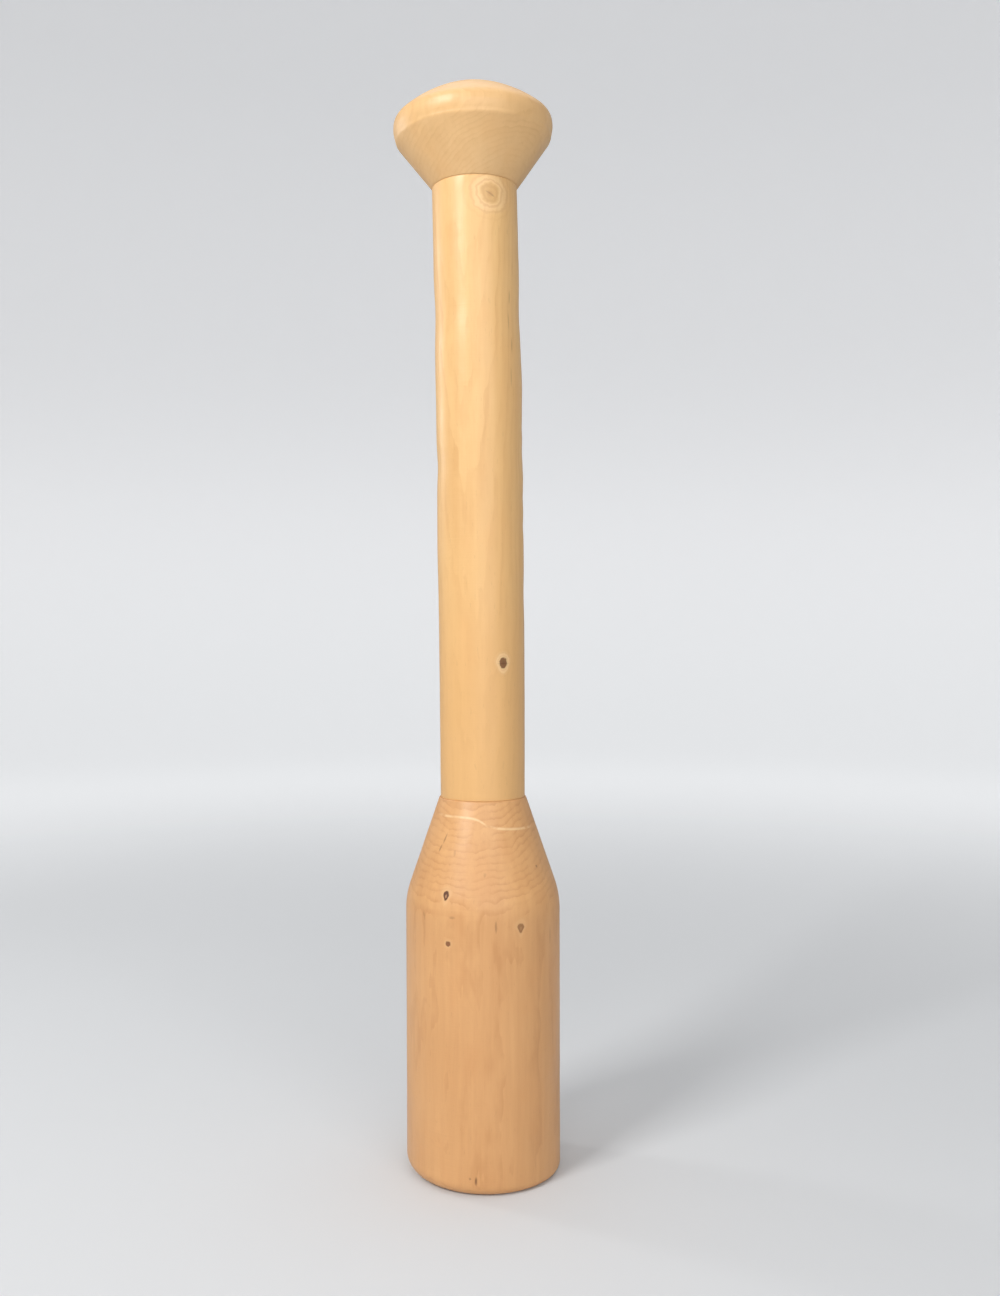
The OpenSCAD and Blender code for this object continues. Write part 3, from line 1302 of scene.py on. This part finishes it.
@dataclass
class StompingHead(TurnedPiece):
    """The heavy head: a straight round with a sloping shoulder and a socket in its top.

    Attributes:
        radius: Radius of its straight side.
        foot_round: Mean radius of its worn foot edge.
        side_top: Height where the straight side meets the shoulder.
        ease: How far the edge there is eased, along each side of it.
        top: Height of its top face.
        neck: Radius of its top edge, which stands a little proud of the handle.
        lip: Radius of the rounding on that edge.
        socket: Radius of the socket.
        socket_depth: Depth of the socket.
    """

    radius: float = 30.0
    foot_round: float = 4.435
    side_top: float = 106.716
    ease: float = 5.154
    top: float = 145.022
    neck: float = 16.85
    lip: float = 0.38
    socket: float = 11.1
    socket_depth: float = 46.5

    def outline(self) -> Outline:
        """Draws the half outline, from the foot's middle to the socket's bottom."""
        slope = (self.radius - self.neck) / (self.top - self.side_top)
        flat = self.radius - self.foot_round * (1 + self.setting.wear_bias) - 0.4
        drawn = Outline()
        drawn.add((0.0, 0.0), Surface.HIDDEN)
        drawn.line((flat, 0.0), 14, Surface.HIDDEN)
        drawn.worn_corner((self.radius, 0.0), self.foot_round, 14)
        drawn.line((self.radius, self.foot_round * (1 + self.setting.wear_bias) + 0.6), 1)
        drawn.line((self.radius, self.side_top - self.ease), 78)
        after = (self.radius - slope * self.ease, self.side_top + self.ease)
        drawn.bend([(self.radius, self.side_top)], after, 14)
        drawn.line((self.neck + slope * self.lip, self.top - self.lip), 40)
        drawn.bend([(self.neck, self.top)], (self.neck - self.lip, self.top), 6)
        drawn.line((self.socket, self.top), 3, Surface.HIDDEN)
        drawn.line((self.socket, self.top - self.socket_depth), 6, Surface.HIDDEN)
        drawn.line((0.0, self.top - self.socket_depth), 4, Surface.HIDDEN)
        return drawn


@dataclass
class Handle(TurnedPiece):
    """The long handle with a round tenon at each end.

    Attributes:
        low: Height of its lower end, on the head.
        high: Height of its upper end, in the knob.
        low_radius: Radius at the lower end.
        high_radius: Radius at the upper end.
        belly: How much thicker it is half way up.
        edge: Size of the soft edge at both ends.
        head_tenon: Radius and length of the tenon in the head.
        knob_tenon: Radius and length of the tenon in the knob.
        chamfer: Chamfer on each tenon's end.
    """

    low: float = 145.022
    high: float = 380.413
    low_radius: float = 16.397
    high_radius: float = 16.366
    belly: float = 0.276
    edge: float = 0.2
    head_tenon: Point = (11.0, 45.0)
    knob_tenon: Point = (9.0, 23.0)
    chamfer: float = 1.5

    def outline(self) -> Outline:
        """Draws the half outline, from the lower tenon's end to the upper tenon's end."""
        radius, length = self.head_tenon
        drawn = Outline()
        drawn.add((0.0, self.low - length), Surface.HIDDEN)
        drawn.line((radius - self.chamfer, self.low - length), 3, Surface.HIDDEN)
        drawn.line((radius, self.low - length + self.chamfer), 1, Surface.HIDDEN)
        drawn.line((radius, self.low), 6, Surface.HIDDEN)
        drawn.line((self.low_radius - self.edge, self.low), 2, Surface.HIDDEN)
        drawn.bend([(self.low_radius, self.low)], (self.low_radius, self.low + self.edge), 4)
        for height in np.linspace(self.low + self.edge, self.high - self.edge, 250)[1:]:
            share = (height - self.low) / (self.high - self.low)
            straight = self.low_radius + (self.high_radius - self.low_radius) * share
            drawn.add((straight + 4 * self.belly * share * (1 - share), float(height)))
        end = (self.high_radius - self.edge, self.high)
        drawn.bend([(self.high_radius, self.high)], end, 4)
        radius, length = self.knob_tenon
        drawn.line((radius, self.high), 2, Surface.HIDDEN)
        drawn.line((radius, self.high + length - self.chamfer), 4, Surface.HIDDEN)
        drawn.line((radius - self.chamfer, self.high + length), 1, Surface.HIDDEN)
        drawn.line((0.0, self.high + length), 3, Surface.HIDDEN)
        return drawn


@dataclass
class PalmKnob(TurnedPiece):
    """The knob for the palm: a cone, a low rim and a rounded crown, with a socket underneath.

    Attributes:
        low: Height of its lower end, on the handle.
        neck: Radius there.
        rim_low: Height of the rim's lower edge.
        rim_low_radius: Radius there.
        rim_high: Height of the rim's upper edge.
        rim_high_radius: Radius there.
        bulge: How far the rim swells between its edges.
        top: Height of the crown.
        flank: Handle that shapes the crown's flank.
        dome: Handle that shapes the crown's top.
        low_edge: How far the rim's lower edge is eased.
        high_edge: How far the rim's upper edge is eased.
        facing: How far the cone is drawn below the joint, to be faced off.
        socket: Radius of the socket.
        socket_depth: Depth of the socket.
    """

    low: float = 380.413
    neck: float = 16.366
    rim_low: float = 398.556
    rim_low_radius: float = 30.073
    rim_high: float = 405.681
    rim_high_radius: float = 30.690
    bulge: float = 0.572
    top: float = 419.553
    flank: Point = (28.375, 408.613)
    dome: Point = (13.778, 419.553)
    low_edge: float = 0.8
    high_edge: float = 1.9
    facing: float = 1.0
    socket: float = 9.1
    socket_depth: float = 24.5

    def outline(self) -> Outline:
        """Draws the half outline, from the socket's ceiling to the crown's top."""
        slope = (self.rim_low_radius - self.neck) / (self.rim_low - self.low)
        ceiling = self.low + self.socket_depth
        drawn = Outline()
        drawn.add((0.0, ceiling), Surface.HIDDEN)
        drawn.line((self.socket, ceiling), 4, Surface.HIDDEN)
        drawn.line((self.socket, self.low), 5, Surface.HIDDEN)
        drawn.line((self.neck - slope * self.facing - 1.0, self.low - self.facing), 2)
        drawn.line((self.neck - slope * self.facing, self.low - self.facing), 1)
        drop = self.low_edge * 0.8
        drawn.line((self.rim_low_radius - slope * drop, self.rim_low - drop), 34)
        edge = (self.rim_low_radius, self.rim_low)
        drawn.bend([edge], (self.rim_low_radius, self.rim_low + self.low_edge), 7)
        swollen = 0.5 * (self.rim_low_radius + self.rim_high_radius) + self.bulge
        middle = (swollen, 0.5 * (self.rim_low + self.rim_high))
        drawn.bend([middle], (self.rim_high_radius, self.rim_high - self.high_edge), 9)
        crown = self._crown(40)
        start = next(n for n, p in enumerate(crown) if p[1] > self.rim_high + 0.75 * self.high_edge)
        drawn.bend([(self.rim_high_radius, self.rim_high)], crown[start], 8)
        for point in crown[start + 1 :]:
            drawn.add(point)
        return drawn

    def _crown(self, rows: int) -> list[Point]:
        """Draws the crown from the rim's upper edge to its top.

        Args:
            rows: How many rows it takes.

        Returns:
            Radius and height of each point.
        """
        drawn = Outline()
        drawn.add((self.rim_high_radius, self.rim_high))
        drawn.bend([self.flank, self.dome], (0.0, self.top), rows)
        return drawn.points


@dataclass(frozen=True)
class Lamp:
    """A soft studio lamp.

    Attributes:
        name: Its name.
        place: Where it stands, in metres.
        aim: What it points at, in metres.
        width: Its width, in metres.
        height: Its height, in metres.
        power: Its power, in watts.
        colour: Its colour.
    """

    name: str
    place: Triple
    aim: Triple
    width: float
    height: float
    power: float
    colour: Colour = (1.0, 1.0, 1.0)

    def hang(self) -> bpy.types.Object:
        """Hangs the lamp.

        Returns:
            The lamp's object.
        """
        light = bpy.data.lights.new(self.name, "AREA")
        light.shape = "RECTANGLE"
        light.size = self.width
        light.size_y = self.height
        light.energy = self.power
        light.color = self.colour
        made = bpy.data.objects.new(self.name, light)
        made.location = self.place
        made.rotation_euler = (Vector(self.aim) - Vector(self.place)).to_track_quat("-Z", "Y").to_euler()
        made.visible_camera = False
        bpy.context.scene.collection.objects.link(made)
        return made


@dataclass
class Studio:
    """The camera at the photographed angle, soft lamps and a plain pale sweep all round.

    Attributes:
        camera_place: Where the camera stands, in metres.
        camera_pitch: How far it looks down.
        camera_roll: How far it is rolled.
        focal_share: Focal length as a share of the picture's long side.
        floor_radius: Radius of the level floor, in metres.
        sweep_radius: Radius of the curve from the floor to the wall, in metres.
        wall_height: Height of the wall, in metres.
        lamps: The lamps.
    """

    camera_place: Triple = (0.006867, -0.484056, 0.213113)
    camera_pitch: float = 1.224
    camera_roll: float = 0.126
    focal_share: float = 1241.487 / 1296.0
    floor_radius: float = 1.5
    sweep_radius: float = 0.9
    wall_height: float = 2.6
    lamps: tuple[Lamp, ...] = (
        Lamp("window", (-0.65, -0.72, 0.86), (0.0, 0.0, 0.25), 0.35, 0.45, 8.5),
        Lamp("softbox", (0.25, -1.15, 0.55), (0.0, 0.0, 0.22), 1.20, 0.80, 7.4),
        Lamp("overhead", (0.10, 0.25, 1.60), (0.05, 0.10, 0.0), 1.60, 1.60, 8.0),
        Lamp("edge", (-0.42, 0.20, 0.42), (0.0, 0.0, 0.36), 0.06, 0.22, 0.45),
    )

    def build(self) -> None:
        """Sets up the camera, the lamps, the sweep and the surrounding light."""
        self._camera()
        for lamp in self.lamps:
            lamp.hang()
        self._sweep()
        self._surroundings()

    def _camera(self) -> None:
        """Stands the camera where the photograph was taken."""
        lens = bpy.data.cameras.new("camera")
        lens.sensor_fit = "AUTO"
        lens.sensor_width = 36.0
        lens.lens = lens.sensor_width * self.focal_share
        lens.clip_start = 0.01
        made = bpy.data.objects.new("camera", lens)
        tilt = Matrix.Rotation(math.radians(90.0 - self.camera_pitch), 4, "X")
        roll = Matrix.Rotation(math.radians(-self.camera_roll), 4, "Z")
        made.matrix_world = Matrix.Translation(self.camera_place) @ tilt @ roll
        bpy.context.scene.collection.objects.link(made)
        bpy.context.scene.camera = made

    def _sweep(self) -> None:
        """Makes the floor that curves up into a round wall."""
        drawn = Outline()
        drawn.add((0.0, 0.0))
        drawn.line((self.floor_radius, 0.0), 8)
        corner = (self.floor_radius + self.sweep_radius, 0.0)
        drawn.bend([corner], (corner[0], self.sweep_radius), 24)
        drawn.line((corner[0], self.wall_height), 4)
        sides = SWEEP_SIDES
        angles = np.linspace(0.0, 2 * math.pi, sides, endpoint=False)
        places = [(r * math.cos(a), r * math.sin(a), z) for r, z in drawn.points[1:] for a in angles]
        places.append((0.0, 0.0, 0.0))
        centre = len(places) - 1
        faces = [(centre, n, (n + 1) % sides) for n in range(sides)]
        for row in range(len(drawn.points) - 2):
            for n in range(sides):
                low, high = row * sides, (row + 1) * sides
                faces.append((low + n, high + n, high + (n + 1) % sides, low + (n + 1) % sides))
        mesh = bpy.data.meshes.new("sweep")
        mesh.from_pydata(places, [], faces)
        mesh.shade_smooth()
        mesh.materials.append(self._sweep_paint())
        made = bpy.data.objects.new("sweep", mesh)
        bpy.context.scene.collection.objects.link(made)

    @staticmethod
    def _sweep_paint() -> bpy.types.Material:
        """Makes the plain pale paint of the sweep, with a faint glow that only the camera sees."""
        made = bpy.data.materials.new("pale paint")
        made.use_nodes = True
        shader = made.node_tree.nodes["Principled BSDF"]
        s = Sketch(made.node_tree)
        place = s.node("ShaderNodeTexCoord").outputs["Object"]
        height = s.split(place)[2]
        paint = s.blend(s.step(height, 0.0, 0.5), (0.66, 0.67, 0.68), (0.80, 0.80, 0.81))
        s.feed(shader.inputs["Base Color"], paint)
        far = s.step(s.vector("LENGTH", place), 0.15, 1.3)
        glow = s.math("MULTIPLY", far, s.math("MULTIPLY_ADD", s.step(height, 0.0, 0.9), -0.14, 0.46))
        seen = s.node("ShaderNodeLightPath").outputs["Is Camera Ray"]
        shader.inputs["Emission Color"].default_value = (0.98, 0.99, 1.0, 1.0)
        s.feed(shader.inputs["Emission Strength"], s.math("MULTIPLY", glow, seen))
        shader.inputs["Roughness"].default_value = 0.9
        shader.inputs["Specular IOR Level"].default_value = 0.1
        return made

    @staticmethod
    def _surroundings() -> None:
        """Sets the soft light of the room and plain colours for the picture."""
        world = bpy.data.worlds.new("room")
        world.use_nodes = True
        sky = world.node_tree.nodes["Background"]
        sky.inputs["Color"].default_value = (0.95, 0.97, 1.0, 1.0)
        sky.inputs["Strength"].default_value = 0.30
        scene = bpy.context.scene
        scene.world = world
        scene.view_settings.view_transform = "Standard"
        scene.view_settings.look = "None"


HEAD_WOOD = WoodFinish(
    name="head wood",
    seed=3.0,
    pale=(0.70, 0.385, 0.163),
    deep=(0.56, 0.275, 0.105),
    warm=(0.64, 0.320, 0.125),
    low_shade_and_patina=(0.68, 0.365, 0.153),
    shade_and_patina_full=20.0,
    shade_and_patina_end=130.0,
    pith=(-1.2, -1.4, 0.0),
    lean=(0.004, -0.006, 0.0),
    ring_width=0.9,
    ring_contrast=0.42,
    wander=0.55,
    streaks=0.35,
    clouds=0.35,
    roughness=0.52,
    polished=0.40,
)

HANDLE_WOOD = WoodFinish(
    name="handle wood",
    seed=11.0,
    pale=(0.81, 0.520, 0.225),
    deep=(0.68, 0.385, 0.150),
    warm=(0.76, 0.430, 0.170),
    low_shade_and_patina=(0.75, 0.440, 0.178),
    shade_and_patina_full=160.0,
    shade_and_patina_end=300.0,
    pith=(3.0, 13.0, 170.0),
    lean=(0.003, 0.03, 0.0),
    ring_width=1.5,
    ring_contrast=0.30,
    wander=0.7,
    streaks=0.35,
    clouds=0.30,
)

KNOB_WOOD = WoodFinish(
    name="knob wood",
    seed=23.0,
    pale=(0.79, 0.500, 0.230),
    deep=(0.67, 0.395, 0.165),
    warm=(0.76, 0.440, 0.180),
    low_shade_and_patina=(0.76, 0.490, 0.235),
    shade_and_patina_full=380.0,
    shade_and_patina_end=398.0,
    pith=(4.0, -5.0, 400.0),
    lean=(0.02, 0.05, 0.0),
    ring_width=1.3,
    ring_contrast=0.28,
    wander=0.6,
    streaks=0.30,
    clouds=0.30,
)

HEAD_KNOTS = (
    Knot(
        height=111.2,
        turn=-28.1,
        half_width=1.35,
        half_height=1.9,
        colour=(0.085, 0.022, 0.006),
        heart=(0.50, 0.26, 0.12),
        strength=0.95,
        heart_strength=0.7,
        halo=0.15,
        rings=0.12,
        swirl=0.9,
        taper=0.9,
    ),
    Knot(
        height=99.5,
        turn=28.7,
        half_width=1.5,
        half_height=1.9,
        colour=(0.24, 0.105, 0.035),
        heart=(0.42, 0.22, 0.09),
        strength=0.8,
        heart_strength=0.5,
        halo=0.1,
        rings=0.12,
        taper=0.9,
    ),
    Knot(
        height=93.9,
        turn=-24.9,
        half_width=1.0,
        half_height=1.0,
        colour=(0.17, 0.055, 0.018),
        heart=(0.17, 0.055, 0.018),
        strength=0.85,
        halo=0.1,
        rings=0.1,
        swirl=0.5,
    ),
)

HEAD_MARKS = (
    Mark(131.3, -40.2, 0.45, 2.2, 0.45, 15.0),
    Mark(127.5, -43.7, 0.45, 1.6, 0.45, 18.0),
    Mark(126.4, -26.2, 0.6, 1.3, 0.22),
    Mark(119.1, 2.5, 0.6, 0.9, 0.2),
    Mark(120.3, 53.9, 0.6, 0.6, 0.55),
    Mark(100.7, 9.9, 0.55, 2.4, 0.42),
    Mark(103.1, -46.8, 0.5, 1.8, 0.3, -10.0),
    Mark(103.7, -21.7, 1.3, 0.6, 0.3),
    Mark(94.2, 58.5, 0.5, 4.0, 0.2),
    Mark(104.8, -30.0, 13.0, 1.1, 0.16, 0.0, Tone.RED),
    Mark(106.5, -2.0, 9.0, 0.9, 0.14, 8.0, Tone.RED),
    Mark(79.0, -6.5, 0.9, 9.5, 0.22, -18.0, Tone.RED),
    Mark(51.5, -8.7, 5.0, 8.0, 0.16, 0.0, Tone.RED),
    Mark(6.5, -4.6, 0.6, 1.8, 0.75),
    Mark(7.2, -8.9, 0.5, 0.5, 0.4),
)

HEAD_LINES = (
    WavyLine(
        turns=(-64.0, -50.8, -14.3, 8.7, 25.5, 57.9, 70.0),
        heights=(139.6, 139.3, 139.1, 136.0, 135.0, 134.5, 134.8),
        half_width=0.42,
        strength=0.55,
    ),
)

HANDLE_KNOTS = (
    Knot(
        height=373.7,
        turn=21.6,
        half_width=4.0,
        half_height=4.0,
        colour=(0.60, 0.36, 0.15),
        heart=(0.42, 0.23, 0.09),
        strength=0.55,
        heart_strength=0.2,
        halo=0.35,
        rings=0.35,
        swirl=1.4,
    ),
    Knot(
        height=197.4,
        turn=29.8,
        half_width=1.7,
        half_height=2.2,
        colour=(0.16, 0.062, 0.022),
        heart=(0.10, 0.035, 0.012),
        heart_strength=0.4,
        halo=0.45,
        rings=0.25,
        swirl=1.3,
        taper=0.2,
    ),
)

HANDLE_MARKS = (
    Mark(373.4, 22.5, 0.45, 2.2, 0.75, 118.0),
    Mark(197.2, 29.8, 0.35, 2.4, 0.7, 90.0),
    Mark(336.0, 50.0, 0.35, 3.0, 0.3),
    Mark(327.0, 47.0, 0.35, 4.0, 0.25),
    Mark(318.0, 52.0, 0.35, 3.0, 0.3),
    Mark(306.0, 49.0, 0.35, 4.0, 0.25),
)

HANDLE_SWELLS = (
    Swell(332.0, 9.0, -0.38),
    Swell(304.5, 8.0, 0.30, 90.0, 50.0),
    Swell(273.5, 6.0, -0.40, -90.0, 50.0),
    Swell(242.0, 16.0, 0.25, -90.0, 50.0),
    Swell(224.0, 7.0, -0.20, 90.0, 50.0),
    Swell(250.0, 3.0, -0.15, 90.0, 40.0),
    Swell(261.0, 2.6, -0.14, 84.0, 35.0),
    Swell(269.0, 2.4, 0.12, 88.0, 40.0),
    Swell(279.0, 3.2, -0.15, 90.0, 40.0),
    Swell(288.0, 2.4, -0.12, 86.0, 36.0),
)


def stomper() -> list[TurnedPiece]:
    """Gives the three pieces in the order in which they stand on each other."""
    bow = Bow()
    knob_joint = PalmKnob.low
    knob_setting = Setting(
        sides=288,
        unevenness=0.04,
        seed=3.0,
        cant=0.789,
        offset=0.364,
        joint=knob_joint,
        faced=knob_joint,
    )
    return [
        StompingHead(
            "turned_head",
            "stomping_head",
            "head_wood",
            HEAD_WOOD,
            Setting(sides=288, wear_bias=0.45, unevenness=0.05, seed=1.0),
            knots=HEAD_KNOTS,
            marks=HEAD_MARKS,
            lines=HEAD_LINES,
        ),
        Handle(
            "turned_handle",
            "handle",
            "handle_wood",
            HANDLE_WOOD,
            Setting(sides=224, unevenness=0.05, seed=2.0),
            bow,
            HANDLE_KNOTS,
            HANDLE_MARKS,
            swells=HANDLE_SWELLS,
        ),
        PalmKnob(
            "turned_knob",
            "knob",
            "knob_wood",
            KNOB_WOOD,
            knob_setting,
            bow,
        ),
    ]


def report(piece: bpy.types.Object) -> None:
    """Logs a piece's triangles and the box that it fills."""
    mesh = piece.data
    mesh.calc_loop_triangles()
    places = np.array([v.co for v in mesh.vertices]) / MM
    span = places.max(0) - places.min(0)
    log.info("%s: %d triangles, %.2f x %.2f x %.2f mm", piece.name, len(mesh.loop_triangles), *span)


def main() -> None:
    """Builds the three pieces and the studio round them."""
    logging.basicConfig(level=logging.INFO, format="%(name)s: %(message)s")
    lathe = Lathe()
    grain = Grain()
    for piece in stomper():
        report(piece.build(lathe, grain))
    Studio().build()


if __name__ == "__main__":
    main()
